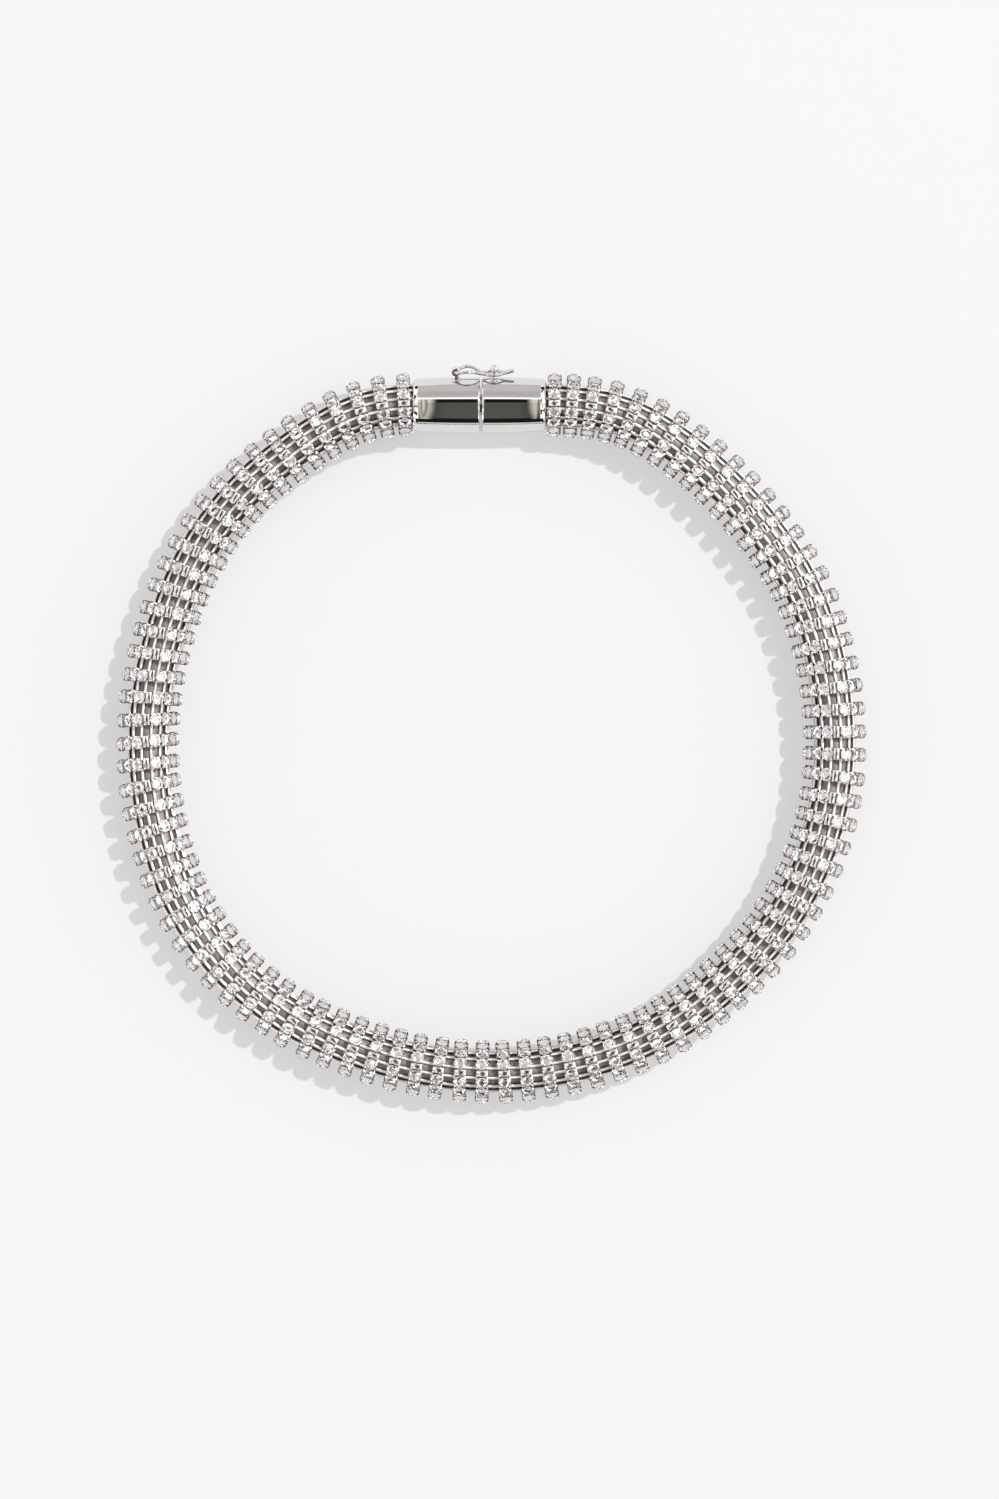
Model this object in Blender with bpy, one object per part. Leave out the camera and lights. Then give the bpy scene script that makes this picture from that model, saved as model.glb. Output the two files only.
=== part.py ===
"""Choker necklace: a round rope of crystal rings, closed by a tube clasp with a safety catch.

The model is drawn round the seam of the clasp: X runs along the clasp, Y points out of the loop
and Z points up. The whole necklace is then set down with its bottom centre at the origin.
Lengths are in metres, and the named sizes are written in millimetres times MM.
"""
import math

import bmesh
import bpy
import numpy as np
from mathutils import Matrix, Vector

MM = 0.001

# Clearances
FIT_GAP = 0.3 * MM
PIN_CLEARANCE = 0.08 * MM

# Rope of crystal rings
RING_COUNT = 93
RING_STONES = 15
RING_RADIUS = 6.2 * MM
RING_WIDTH = 2.54 * MM
RING_SEAM_ANGLE = math.radians(14)
CAGE_RADIUS = 3.95 * MM
CAGE_SEAT_DEPTH = 2.0 * MM
END_TIGHTENING = 0.2
END_TIGHT_RINGS = 2.0
ROUTE_STEPS = 24

# Tube clasp
SOCKET_LENGTH = 12.8 * MM
PLUG_LENGTH = 12.2 * MM
TUBE_RADIUS = 5.24 * MM
TUBE_SHOULDER_RADIUS = 4.98 * MM
TUBE_END_RADIUS = 4.55 * MM
SHOULDER_LENGTH = 1.3 * MM
CROWN_POWER = 2.5
LIP_ROUND = 0.3 * MM
TONGUE_RADIUS = 2.0 * MM
TONGUE_IN_SOCKET = 6.0 * MM
TONGUE_IN_PLUG = 4.0 * MM
TONGUE_CHAMFER = 0.4 * MM

# Safety catch, on the outer side of the tube and turned up towards the viewer
CATCH_TURN = math.radians(20)
CATCH_LIFT = 1.26 * MM
CATCH_WIRE_RADIUS = 0.3 * MM
CATCH_LENGTH = 9.0 * MM
CATCH_HALF_WIDTH = 2.05 * MM
HINGE_BACK = 4.7 * MM
LUG_RADIUS = 0.85 * MM
LUG_LENGTH = 1.6 * MM
PEG_RADIUS = 0.4 * MM
BALL_RADIUS = 0.8 * MM
BALL_LIFT = 1.76 * MM
TAB_LENGTH = 2.0 * MM
TAB_WIDTH = 1.5 * MM
TAB_THICKNESS = 0.5 * MM
TAB_SLOPE = math.radians(14)

# Facets
TUBE_SIDES = 32
PIN_SIDES = 16
SHOULDER_STEPS = 3
CROWN_STEPS = 3

ROPE_START = PLUG_LENGTH + FIT_GAP
ROPE_END = SOCKET_LENGTH + FIT_GAP
HINGE_HEIGHT = TUBE_RADIUS + CATCH_LIFT

# Centreline of the rope from the plug half round to the socket half, in millimetres from the seam,
# chosen by hand. The two ends are worked out from the clasp.
ROUTE_POINTS = [
    (21.0, -0.6), (27.6, -2.3), (35.2, -6.4), (43.2, -12.6), (52.2, -22.2),
    (59.8, -33.5), (64.4, -46.2), (66.4, -59.6), (65.8, -73.1), (62.2, -86.1),
    (55.7, -97.9), (46.7, -107.8), (36.3, -116.0), (24.4, -121.6), (11.7, -124.7),
    (-1.4, -125.3), (-14.3, -123.5), (-26.9, -119.4), (-38.7, -113.1), (-48.8, -104.2),
    (-56.4, -92.7), (-60.8, -79.8), (-62.6, -66.4), (-61.8, -52.9), (-58.6, -39.8),
    (-53.0, -27.3), (-44.8, -16.5), (-34.9, -8.2), (-27.0, -3.3), (-20.6, -0.9),
]

# Half outline of the figure eight from hinge to tab. Columns: place along the catch as a share of
# CATCH_LENGTH, half width as a share of CATCH_HALF_WIDTH, and height over the tube as a share of
# CATCH_LIFT.
CATCH_OUTLINE = [
    (0.12, 0.86, 1.18),
    (0.22, 1.00, 1.34),
    (0.33, 0.90, 1.30),
    (0.44, 0.56, 1.02),
    (0.53, 0.24, 0.76),
    (0.58, 0.24, 0.72),
    (0.66, 0.56, 0.72),
    (0.76, 0.74, 0.74),
    (0.86, 0.70, 0.76),
    (0.95, 0.44, 0.80),
]

# Where the wire leaves the hinge pin. Columns: place along the catch in wire radii, half width as a
# share of the pin's reach, and height over the tube as a share of CATCH_LIFT.
CATCH_HEEL = [
    (0.6, 0.94, 1.00),
    (2.0, 1.12, 1.06),
]

SILVER = (0.74, 0.73, 0.74)
CRYSTAL = (0.83, 0.82, 0.81)


def clear_scene():
    """Removes what the file starts with."""
    for thing in list(bpy.data.objects):
        bpy.data.objects.remove(thing, do_unlink=True)


def metal(name, colour, roughness):
    """A plain metallic material."""
    material = bpy.data.materials.new(name)
    material.use_nodes = True
    shader = material.node_tree.nodes["Principled BSDF"]
    shader.inputs["Base Color"].default_value = (*colour, 1)
    shader.inputs["Metallic"].default_value = 1
    shader.inputs["Roughness"].default_value = roughness
    return material


def add_object(name, bm, material=None, smooth_angle=math.radians(30)):
    """Turns a bmesh into an object in the scene."""
    bmesh.ops.recalc_face_normals(bm, faces=bm.faces)
    mesh = bpy.data.meshes.new(name)
    bm.to_mesh(mesh)
    bm.free()
    mesh.shade_smooth()
    mesh.set_sharp_from_angle(angle=smooth_angle)
    thing = bpy.data.objects.new(name, mesh)
    bpy.context.scene.collection.objects.link(thing)
    if material:
        mesh.materials.append(material)
    return thing


def add_tool(name, bm):
    """A hidden object that another object's Boolean uses."""
    tool = add_object(name, bm)
    tool.hide_render = True
    tool.display_type = "WIRE"
    return tool


def combine(thing, tool, operation):
    """Joins a hidden tool to an object, or cuts it away."""
    modifier = thing.modifiers.new(tool.name, "BOOLEAN")
    modifier.operation = operation
    modifier.solver = "EXACT"
    modifier.object = tool


def smooth_points(points, first_way, last_way, steps):
    """Points on a smooth curve through the given ones, which leaves and arrives the given ways."""
    ways = [first_way]
    for before, after in zip(points[:-2], points[2:]):
        ways.append((after - before).normalized())
    ways.append(last_way)
    result = []
    for index in range(len(points) - 1):
        start = points[index]
        end = points[index + 1]
        reach = (end - start).length / 3
        out_handle = start + ways[index] * reach
        in_handle = end - ways[index + 1] * reach
        for step in range(steps):
            share = step / steps
            rest = 1 - share
            result.append(
                start * rest**3
                + out_handle * (3 * rest**2 * share)
                + in_handle * (3 * rest * share**2)
                + end * share**3
            )
    result.append(points[-1])
    return result


class Route:
    """The rope's centreline, read by the length along it."""

    def __init__(self):
        along = Vector((1, 0, 0))
        chosen = [Vector((ROPE_START, 0, 0))]
        chosen += [Vector((x * MM, y * MM, 0)) for x, y in ROUTE_POINTS]
        chosen.append(Vector((-ROPE_END, 0, 0)))
        seat = along * CAGE_SEAT_DEPTH
        points = smooth_points(chosen, along, along, ROUTE_STEPS)
        points = [points[0] - seat] + points + [points[-1] + seat]
        self.points = np.array(points)
        steps = np.linalg.norm(np.diff(self.points, axis=0), axis=1)
        self.lengths = np.concatenate([[0], np.cumsum(steps)]) - CAGE_SEAT_DEPTH
        self.length = self.lengths[-1] - CAGE_SEAT_DEPTH

    def place(self, length):
        """The point on the centreline that many metres from the rope's start."""
        return Vector([np.interp(length, self.lengths, self.points[:, axis]) for axis in range(3)])

    def outward(self, length):
        """The level direction out of the loop at that point."""
        reach = RING_WIDTH / 2
        along = (self.place(length + reach) - self.place(length - reach)).normalized()
        return Vector((-along.y, along.x, 0))


def ring_places(route):
    """How far along the rope each ring's middle is: closer together by the clasp."""
    steps = []
    for index in range(RING_COUNT - 1):
        steps.append(1 - END_TIGHTENING * math.exp(-index / END_TIGHT_RINGS))
    scale = (route.length - RING_WIDTH) / sum(steps)
    places = [RING_WIDTH / 2]
    for step in steps:
        places.append(places[-1] + step * scale)
    return places


def ring_corners():
    """Angles of a section's corners, from straight up towards the outside of the loop.

    One flat for each cup, and a short one on top for the seam of the ring.
    """
    cup_angle = (2 * math.pi - RING_SEAM_ANGLE) / RING_STONES
    return [RING_SEAM_ANGLE / 2 + cup_angle * index for index in range(RING_STONES + 1)]


def add_section(bm, route, length, radius):
    """One cross-section of the rope."""
    middle = route.place(length)
    outward = route.outward(length)
    up = Vector((0, 0, 1))
    return [
        bm.verts.new(middle + (up * math.cos(angle) + outward * math.sin(angle)) * radius)
        for angle in ring_corners()
    ]


def add_rope(name, route, places, start, end, material):
    """A stretch of rope from start to end: the cage as a solid core with a collar for each ring."""
    bm = bmesh.new()
    sections = [add_section(bm, route, start, CAGE_RADIUS)]
    for place in places:
        for length, radius in [
            (place - RING_WIDTH / 2, CAGE_RADIUS),
            (place - RING_WIDTH / 2, RING_RADIUS),
            (place + RING_WIDTH / 2, RING_RADIUS),
            (place + RING_WIDTH / 2, CAGE_RADIUS),
        ]:
            sections.append(add_section(bm, route, length, radius))
    sections.append(add_section(bm, route, end, CAGE_RADIUS))
    for before, after in zip(sections[:-1], sections[1:]):
        for side in range(len(before)):
            following = (side + 1) % len(before)
            bm.faces.new((before[side], before[following], after[following], after[side]))
    bm.faces.new(sections[0])
    bm.faces.new(sections[-1])
    return add_object(name, bm, material)


def turned(profile, sides):
    """A solid turned about X from (x, radius) points that start and end on the axis."""
    bm = bmesh.new()
    line = [bm.verts.new((x, radius, 0)) for x, radius in profile]
    edges = [bm.edges.new(pair) for pair in zip(line[:-1], line[1:])]
    bmesh.ops.spin(
        bm,
        geom=line + edges,
        cent=(0, 0, 0),
        axis=(1, 0, 0),
        angle=2 * math.pi,
        steps=sides,
        use_merge=True,
    )
    bmesh.ops.remove_doubles(bm, verts=bm.verts, dist=0.001 * MM)
    return bm


def arc(centre, radius_x, radius_y, first, last, steps):
    """Points on a quarter of an ellipse in a turned profile, angles in degrees."""
    result = []
    for step in range(steps + 1):
        angle = math.radians(first + (last - first) * step / steps)
        result.append((centre[0] + radius_x * math.cos(angle), centre[1] + radius_y * math.sin(angle)))
    return result


def half_profile(length, tongue_depth):
    """Profile of one half of the tube, from its seam at x = FIT_GAP / 2 out to its rope end."""
    bore = TONGUE_RADIUS + FIT_GAP
    seat = CAGE_RADIUS + FIT_GAP
    seam = FIT_GAP / 2
    profile = [(seam + tongue_depth, 0), (seam + tongue_depth, bore), (seam, bore)]
    profile += arc((seam + LIP_ROUND, TUBE_RADIUS - LIP_ROUND), LIP_ROUND, LIP_ROUND, 180, 90, 2)
    crown = length - SHOULDER_LENGTH - LIP_ROUND
    for step in range(1, CROWN_STEPS):
        share = step / CROWN_STEPS
        fall = (TUBE_RADIUS - TUBE_SHOULDER_RADIUS) * share**CROWN_POWER
        profile.append((LIP_ROUND + crown * share, TUBE_RADIUS - fall))
    profile += arc(
        (length - SHOULDER_LENGTH, TUBE_END_RADIUS),
        SHOULDER_LENGTH,
        TUBE_SHOULDER_RADIUS - TUBE_END_RADIUS,
        90,
        0,
        SHOULDER_STEPS,
    )
    floor = length - CAGE_SEAT_DEPTH
    profile += [(length, seat), (floor, seat), (floor, 0)]
    return profile


def catch_frame():
    """Local axes of the catch as a matrix: X along the tube, Y across the catch, Z off the tube."""
    across = Vector((0, -math.sin(CATCH_TURN), math.cos(CATCH_TURN)))
    off = Vector((0, math.cos(CATCH_TURN), math.sin(CATCH_TURN)))
    return Matrix((Vector((1, 0, 0)), -across, off)).transposed().to_4x4()


def add_socket_half(material):
    """The half of the tube that carries the catch's hinge lug."""
    bm = turned(half_profile(SOCKET_LENGTH, TONGUE_IN_SOCKET), TUBE_SIDES)
    bmesh.ops.scale(bm, vec=(-1, 1, 1), verts=bm.verts)
    half = add_object("clasp_socket_half", bm, material)
    frame = catch_frame()
    centre = Vector((-HINGE_BACK, 0, HINGE_HEIGHT))
    crosswise = Matrix.Rotation(math.pi / 2, 4, "X")

    knuckle = bmesh.new()
    bmesh.ops.create_cone(
        knuckle, cap_ends=True, segments=PIN_SIDES, radius1=LUG_RADIUS, radius2=LUG_RADIUS,
        depth=LUG_LENGTH, matrix=frame @ Matrix.Translation(centre) @ crosswise,
    )
    foot = bmesh.new()
    foot_height = CATCH_LIFT + LUG_RADIUS
    size = Matrix.Diagonal((1.5 * LUG_RADIUS, LUG_LENGTH, foot_height, 1))
    below = Vector((0, 0, -foot_height / 2))
    bmesh.ops.create_cube(foot, size=1, matrix=frame @ Matrix.Translation(centre + below) @ size)
    bore = bmesh.new()
    hole = CATCH_WIRE_RADIUS + PIN_CLEARANCE
    bmesh.ops.create_cone(
        bore, cap_ends=True, segments=PIN_SIDES, radius1=hole, radius2=hole,
        depth=2 * LUG_LENGTH, matrix=frame @ Matrix.Translation(centre) @ crosswise,
    )
    tools = [
        (add_tool("lug_foot", foot), "UNION"),
        (add_tool("lug_knuckle", knuckle), "UNION"),
        (add_tool("lug_bore", bore), "DIFFERENCE"),
    ]
    for tool, operation in tools:
        combine(half, tool, operation)
    return [half] + [tool for tool, operation in tools]


def add_plug_half(material):
    """The half of the tube with the ball peg, which stands in the small loop of the catch."""
    bm = turned(half_profile(PLUG_LENGTH, TONGUE_IN_PLUG), TUBE_SIDES)
    half = add_object("clasp_plug_half", bm, material)
    ball_height = TUBE_RADIUS + BALL_LIFT
    neck = ball_height - math.sqrt(BALL_RADIUS**2 - PEG_RADIUS**2)
    start = math.degrees(math.atan2(PEG_RADIUS, neck - ball_height))
    profile = [(TUBE_RADIUS - BALL_RADIUS, 0), (TUBE_RADIUS - BALL_RADIUS, PEG_RADIUS)]
    profile += arc((ball_height, 0), BALL_RADIUS, BALL_RADIUS, start, 0, 6)
    peg = turned(profile, PIN_SIDES)
    stand_up = Matrix.Rotation(-math.pi / 2, 4, "Y")
    along = Matrix.Translation((ball_place(), 0, 0))
    bmesh.ops.transform(peg, matrix=catch_frame() @ along @ stand_up, verts=peg.verts)
    tool = add_tool("ball_peg", peg)
    combine(half, tool, "UNION")
    return [half, tool]


def ball_place():
    """Where along the tube the ball stands: in the middle of the catch's small loop."""
    return 0.8 * CATCH_LENGTH - HINGE_BACK


def add_tongue(material):
    """The hidden post that joins the two halves."""
    half_gap = FIT_GAP / 2
    left = -(TONGUE_IN_SOCKET - half_gap)
    right = TONGUE_IN_PLUG - half_gap
    profile = [
        (left, 0),
        (left, TONGUE_RADIUS - TONGUE_CHAMFER),
        (left + TONGUE_CHAMFER, TONGUE_RADIUS),
        (right, TONGUE_RADIUS),
        (right, 0),
    ]
    return add_object("clasp_tongue", turned(profile, PIN_SIDES), material)


def catch_outline():
    """Closed line of the bent wire in the catch's own axes, with the hinge pin across its start."""
    pin_end = LUG_LENGTH / 2 + PIN_CLEARANCE
    side = pin_end + CATCH_WIRE_RADIUS + PIN_CLEARANCE
    pin = Vector((0, pin_end, HINGE_HEIGHT))
    heel = [
        Vector((along * CATCH_WIRE_RADIUS, width * side, TUBE_RADIUS + height * CATCH_LIFT))
        for along, width, height in CATCH_HEEL
    ]
    outer = [
        Vector((along * CATCH_LENGTH, width * CATCH_HALF_WIDTH, TUBE_RADIUS + height * CATCH_LIFT))
        for along, width, height in CATCH_OUTLINE
    ]
    tip = Vector((CATCH_LENGTH, 0, TUBE_RADIUS + CATCH_OUTLINE[-1][2] * CATCH_LIFT))
    half = smooth_points(
        heel + outer + [tip], Vector((1, 1, 0)).normalized(), Vector((0, -1, 0)), 3
    )
    half = [pin] + half
    mirrored = [Vector((point.x, -point.y, point.z)) for point in reversed(half[:-1])]
    return [point - Vector((HINGE_BACK, 0, 0)) for point in half + mirrored]


def add_catch(material):
    """The figure-eight wire with its thumb tab."""
    curve = bpy.data.curves.new("catch_wire", "CURVE")
    curve.dimensions = "3D"
    curve.bevel_depth = CATCH_WIRE_RADIUS
    curve.bevel_resolution = 2
    points = catch_outline()
    spline = curve.splines.new("POLY")
    spline.points.add(len(points) - 1)
    for target, point in zip(spline.points, points):
        target.co = (*point, 1)
    spline.use_cyclic_u = True
    guide = bpy.data.objects.new("catch_wire", curve)
    bpy.context.scene.collection.objects.link(guide)
    bm = bmesh.new()
    bm.from_mesh(guide.to_mesh())
    bpy.data.objects.remove(guide, do_unlink=True)
    bmesh.ops.remove_doubles(bm, verts=bm.verts, dist=0.001 * MM)
    bmesh.ops.transform(bm, matrix=catch_frame(), verts=bm.verts)
    catch = add_object("safety_catch", bm, material)

    tab = bmesh.new()
    size = Matrix.Diagonal((TAB_LENGTH, TAB_WIDTH, TAB_THICKNESS, 1))
    bmesh.ops.create_cube(tab, size=1, matrix=Matrix.Translation((TAB_LENGTH / 2, 0, 0)) @ size)
    bmesh.ops.bevel(
        tab, geom=tab.edges[:], offset=0.4 * TAB_THICKNESS, segments=1, profile=0.5, affect="EDGES",
        material=-1,
    )
    root = Vector((CATCH_LENGTH - HINGE_BACK, 0, TUBE_RADIUS + CATCH_OUTLINE[-1][2] * CATCH_LIFT))
    slope = Matrix.Rotation(-TAB_SLOPE, 4, "Y")
    bmesh.ops.transform(tab, matrix=catch_frame() @ Matrix.Translation(root) @ slope, verts=tab.verts)
    tool = add_tool("thumb_tab", tab)
    combine(catch, tool, "UNION")
    return [catch, tool]


def set_down(things):
    """Puts the bottom centre of the whole necklace at the origin, with one parent for all of it."""
    graph = bpy.context.evaluated_depsgraph_get()
    corners = []
    for thing in things:
        if thing.hide_render:
            continue
        shape = thing.evaluated_get(graph)
        corners += [vertex.co.copy() for vertex in shape.to_mesh().vertices]
        shape.to_mesh_clear()
    corners = np.array(corners)
    low = corners.min(axis=0)
    high = corners.max(axis=0)
    base = bpy.data.objects.new("necklace", None)
    bpy.context.scene.collection.objects.link(base)
    base.location = (-(low[0] + high[0]) / 2, -(low[1] + high[1]) / 2, -low[2])
    for thing in things:
        thing.parent = base


def build():
    """Makes every piece of the necklace."""
    clear_scene()
    chrome = metal("polished_silver", SILVER, 0.08)
    rings = metal("crystal_rings", CRYSTAL, 0.3)
    route = Route()
    places = ring_places(route)
    half_count = RING_COUNT // 2 + 1
    meeting = (places[half_count - 1] + places[half_count]) / 2
    first = -CAGE_SEAT_DEPTH
    last = route.length + CAGE_SEAT_DEPTH
    things = [
        add_rope("rope_right", route, places[:half_count], first, meeting - FIT_GAP / 2, rings),
        add_rope("rope_left", route, places[half_count:], meeting + FIT_GAP / 2, last, rings),
        add_tongue(chrome),
    ]
    things += add_socket_half(chrome)
    things += add_plug_half(chrome)
    things += add_catch(chrome)
    bpy.context.view_layer.update()
    set_down(things)


build()
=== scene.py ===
"""Looks of the choker necklace: crystal rings on a cage of bars, a tube clasp and its safety catch.

Everything is drawn round the seam of the clasp, as the solids are: X runs along the clasp, Y points
out of the loop and Z points up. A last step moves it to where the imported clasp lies.
Lengths are in metres, and the named sizes are written in millimetres times MM.
"""
import math
import random

import bmesh
import bpy
import numpy as np
from mathutils import Matrix, Vector


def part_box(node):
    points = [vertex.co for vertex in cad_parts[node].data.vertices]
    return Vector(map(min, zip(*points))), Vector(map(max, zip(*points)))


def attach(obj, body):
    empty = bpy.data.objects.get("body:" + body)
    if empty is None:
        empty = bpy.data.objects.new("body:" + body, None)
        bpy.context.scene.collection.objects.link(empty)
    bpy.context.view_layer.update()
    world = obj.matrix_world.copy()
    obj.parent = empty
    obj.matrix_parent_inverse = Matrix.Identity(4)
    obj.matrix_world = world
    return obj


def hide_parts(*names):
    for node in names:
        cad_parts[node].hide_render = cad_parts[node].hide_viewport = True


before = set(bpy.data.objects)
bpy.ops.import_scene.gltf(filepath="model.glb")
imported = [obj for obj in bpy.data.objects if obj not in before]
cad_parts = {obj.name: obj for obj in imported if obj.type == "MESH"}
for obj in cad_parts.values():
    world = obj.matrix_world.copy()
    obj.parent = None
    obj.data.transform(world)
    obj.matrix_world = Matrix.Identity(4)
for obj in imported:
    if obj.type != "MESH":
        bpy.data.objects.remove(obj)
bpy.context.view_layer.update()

MM = 0.001
MERGE_DISTANCE = 0.001 * MM
SEED = 7

# Sizes of the solids
FIT_GAP = 0.3 * MM
PIN_CLEARANCE = 0.08 * MM
RING_COUNT = 93
RING_STONES = 15
RING_WIDTH = 2.54 * MM
RING_SEAM_ANGLE = math.radians(14)
CAGE_RADIUS = 3.95 * MM
CAGE_SEAT_DEPTH = 2.0 * MM
END_TIGHTENING = 0.2
END_TIGHT_RINGS = 2.0
ROUTE_STEPS = 24
SOCKET_LENGTH = 12.8 * MM
PLUG_LENGTH = 12.2 * MM
TUBE_RADIUS = 5.24 * MM
TUBE_SHOULDER_RADIUS = 4.98 * MM
TUBE_END_RADIUS = 4.55 * MM
SHOULDER_LENGTH = 1.3 * MM
CROWN_POWER = 2.5
LIP_ROUND = 0.3 * MM
TONGUE_RADIUS = 2.0 * MM
TONGUE_IN_SOCKET = 6.0 * MM
TONGUE_IN_PLUG = 4.0 * MM
CATCH_TURN = math.radians(20)
CATCH_LIFT = 1.26 * MM
CATCH_WIRE_RADIUS = 0.3 * MM
CATCH_LENGTH = 9.0 * MM
CATCH_HALF_WIDTH = 2.05 * MM
HINGE_BACK = 4.7 * MM
LUG_RADIUS = 0.85 * MM
LUG_LENGTH = 1.6 * MM
LUG_EDGE = 0.12 * MM
FOOT_SHARES = (1.5, 0.94)
FOOT_CLEARANCE = 0.1 * MM
FOOT_SINK = 0.4 * MM
PEG_RADIUS = 0.4 * MM
BALL_RADIUS = 0.8 * MM
BALL_LIFT = 1.76 * MM
BALL_SHARE = 0.8
TAB_LENGTH = 2.0 * MM
TAB_WIDTH = 1.5 * MM
TAB_THICKNESS = 0.5 * MM
TAB_ROUND = 0.4
TAB_SLOPE = math.radians(14)

ROPE_START = PLUG_LENGTH + FIT_GAP
ROPE_END = SOCKET_LENGTH + FIT_GAP
HINGE_HEIGHT = TUBE_RADIUS + CATCH_LIFT

# Centreline of the rope from the plug half round to the socket half, in millimetres from the seam
ROUTE_POINTS = [
    (21.0, -0.6), (27.6, -2.3), (35.2, -6.4), (43.2, -12.6), (52.2, -22.2),
    (59.8, -33.5), (64.4, -46.2), (66.4, -59.6), (65.8, -73.1), (62.2, -86.1),
    (55.7, -97.9), (46.7, -107.8), (36.3, -116.0), (24.4, -121.6), (11.7, -124.7),
    (-1.4, -125.3), (-14.3, -123.5), (-26.9, -119.4), (-38.7, -113.1), (-48.8, -104.2),
    (-56.4, -92.7), (-60.8, -79.8), (-62.6, -66.4), (-61.8, -52.9), (-58.6, -39.8),
    (-53.0, -27.3), (-44.8, -16.5), (-34.9, -8.2), (-27.0, -3.3), (-20.6, -0.9),
]

# Half outline of the figure eight. Columns: place along the catch as a share of CATCH_LENGTH, half
# width as a share of CATCH_HALF_WIDTH, and height over the tube as a share of CATCH_LIFT.
CATCH_OUTLINE = [
    (0.12, 0.86, 1.18),
    (0.22, 1.00, 1.34),
    (0.33, 0.90, 1.30),
    (0.44, 0.56, 1.02),
    (0.53, 0.24, 0.76),
    (0.58, 0.24, 0.72),
    (0.66, 0.56, 0.72),
    (0.76, 0.74, 0.74),
    (0.86, 0.70, 0.76),
    (0.95, 0.44, 0.80),
]

# Where the wire leaves the hinge pin. Columns: place along the catch in wire radii, half width as a
# share of the pin's reach, and height over the tube as a share of CATCH_LIFT.
CATCH_HEEL = [
    (0.6, 0.94, 1.00),
    (2.0, 1.12, 1.06),
]

# Cut stones: a table, 8 stars, 8 kites, 16 girdle facets and a silvered back. Each sits a little
# askew, by about the angle STONE_TILT in degrees.
GIRDLE_HEIGHT = 5.52 * MM
STONE_RADIUS = 1.1 * MM
STONE_STRETCH = 1.13
STONE_TILT = 2.5
CRYSTAL_IOR = 1.56
GIRDLE_SIDES = 16
TABLE_SHARE = 0.50
STAR_SHARE = 0.80
CROWN_HEIGHT = 0.42 * MM
PAVILION_DEPTH = 0.92 * MM
PAVILION_BREAK = (0.5, 0.54)

# Cups that hold the stones
CUP_TOP_ALONG = 1.32 * MM
CUP_TOP_AROUND = 1.08 * MM
CUP_FLOOR_ALONG = 1.0 * MM
CUP_FLOOR_AROUND = 0.72 * MM
CUP_RIM_DROP = 0.14 * MM
CUP_WALL = 0.13 * MM
CUP_SEAT = 0.3 * MM
CUP_SINK = 0.05 * MM
PRONG_WIDTH = 0.34 * MM
PRONG_THICKNESS = 0.16 * MM
PRONG_REACH = 1.26 * MM
PRONG_ROOT = 0.75 * MM
PRONG_TOP = 0.12 * MM
PRONG_TIP = 0.34 * MM
PRONG_SPLAY = 0.16 * MM
PRONG_LEAN = 1.5
PRONG_TAPER = 0.7
RING_WANDER = math.radians(2.0)

# How far the rings lean out of square. Columns: place along the rope as a share, and degrees.
RING_LEANS = [
    (0.0, 0.0), (0.12, -1.0), (0.25, -2.0), (0.45, 1.0),
    (0.6, 1.0), (0.7, 5.0), (0.83, 6.0), (1.0, 0.0),
]

# Bars along the rope, and the plain tube inside them. Each bar has painted shade on its side towards
# the tube, unshaded from the first of its two shade limits outwards and fully shaded from the second
# inwards, both in bar radii from its middle.
BAR_COUNT = 13
BAR_RADIUS = 0.3 * MM
BAR_PLACE = 3.7 * MM
CORE_RADIUS = 3.42 * MM
CORE_ROUNDNESS = 14
BAR_UNSHADED_ABOVE = 0.6
BAR_FULL_SHADE_BELOW = -0.2
BAR_SECTIONS = 188
BAR_ROUNDNESS = 2

# Links that close the rings
LINK_HEIGHT = 5.25 * MM
LINK_THICKNESS = 0.7 * MM
LINK_WIDTH = 2.34 * MM
LINK_LENGTH = 1.24 * MM
LINK_ROUND = 0.34 * MM
LINK_RIM = 0.06 * MM
LINK_HOLE = (0.17, 0.55)
LINK_HOLE_SHIFT = -0.2 * MM
LINK_HOLE_DEPTH = 0.8

# Painted shade on polished metal, where it is darker. In the clasp's seam this goes by the depth under
# the tube's surface, and on the catch by how far the wire's surface faces off the tube, from 1 down to
# -1, its side towards the tube painted in shade. The tube also has an even tarnish all over.
SEAM_UNSHADED_DEPTH = 0.08 * MM
SEAM_FULL_SHADE_DEPTH = 0.2 * MM
SEAM_SHADE_STRENGTH = 2.0
TUBE_TARNISH = 0.06
WIRE_UNSHADED_ABOVE = 0.45
WIRE_FULL_SHADE_BELOW = -0.2

# Fineness of the polished pieces
TUBE_SIDES = 128
CROWN_STEPS = 16
SHOULDER_STEPS = 10
LIP_STEPS = 6
PIN_SIDES = 32
BALL_STEPS = 16
WIRE_STEPS = 8
WIRE_ROUNDNESS = 6

# Angles past which an edge stays sharp
CUP_SHARP = math.radians(50)
LINK_SHARP = math.radians(40)
BAR_SHARP = math.radians(60)
TUBE_SHARP = math.radians(35)
WIRE_SHARP = math.radians(50)

# Camera straight above, framed as the photograph
CAMERA_HEIGHT = 875 * MM
VIEW_HEIGHT = 281.8 * MM
VIEW_MIDDLE = (1.55 * MM, -2.77 * MM)
SENSOR = 36.0

# Light
SUN_DIRECTION = (0.53, 0.375, 1.0)
SUN_STRENGTH = 3.6
SUN_ANGLE = math.radians(1.5)
SUN_COLOUR = (1.0, 0.99, 0.97)
FLOOR_COLOUR = (0.21, 0.21, 0.21)
FLOOR_GLOW = 0.512
FLOOR_TINT = (0.985, 0.992, 1.0)
FLOOR_HALF_SIZE = 3
FLOOR_ROUGHNESS = 0.6
FLOOR_SHINE = 0.2

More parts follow.
